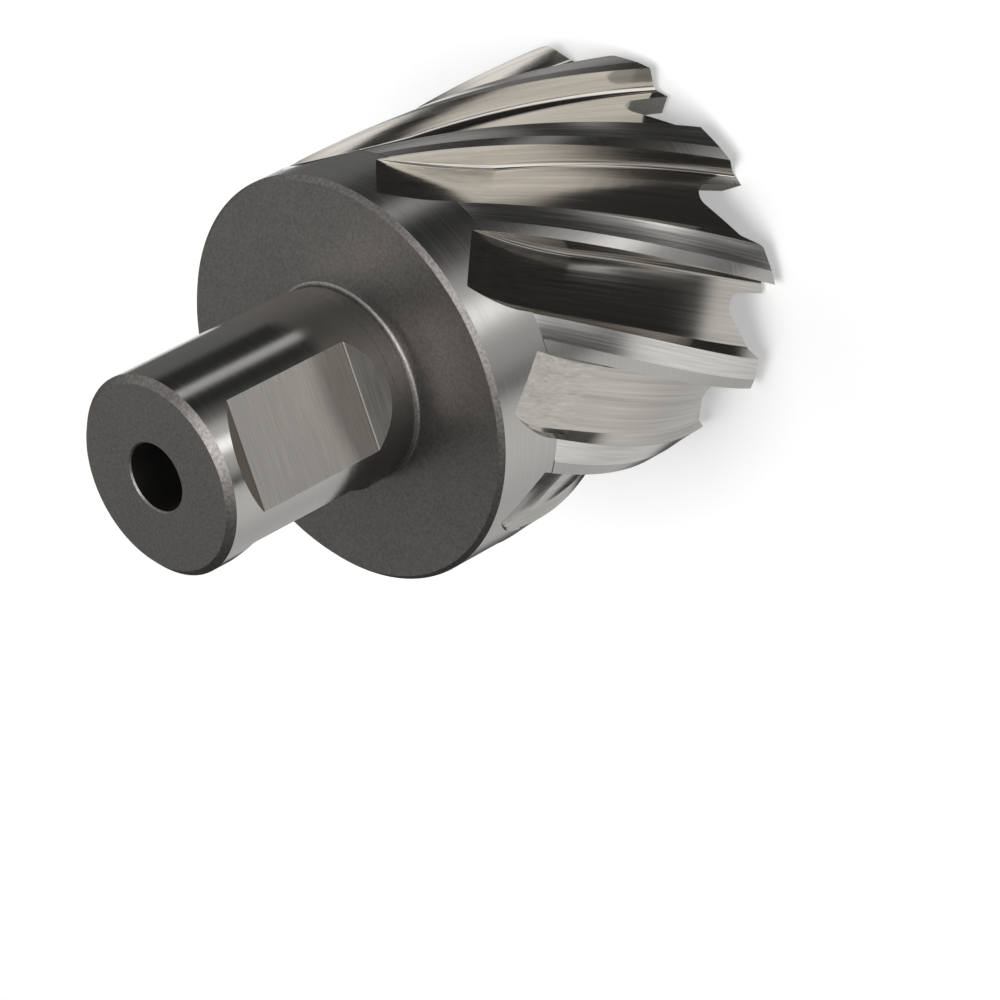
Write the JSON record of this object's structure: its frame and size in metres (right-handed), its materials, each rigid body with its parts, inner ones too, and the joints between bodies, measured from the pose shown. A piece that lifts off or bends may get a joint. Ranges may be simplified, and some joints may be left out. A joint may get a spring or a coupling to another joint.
{
  "type": "annular cutter",
  "caption": "Annular cutter for a magnetic drill: straight shank with set-screw flats, plain collar, and a hollow body with right-hand helical flutes and a crown of teeth.",
  "frame": {"origin": "on the axis, in the plane of the tooth tips on which the cutter stands", "axes": "+Z along the axis from the teeth to the shank; one set-screw flat faces -Y and the other faces -X"},
  "size_m": [0.0392, 0.0392, 0.0617],
  "materials": {
    "high_speed_steel": "ground, with bright flutes and a duller grey collar and shank end"
  },
  "bodies": {
    "root": {"annular_cutter": "high_speed_steel"}
  },
  "joints": []
}
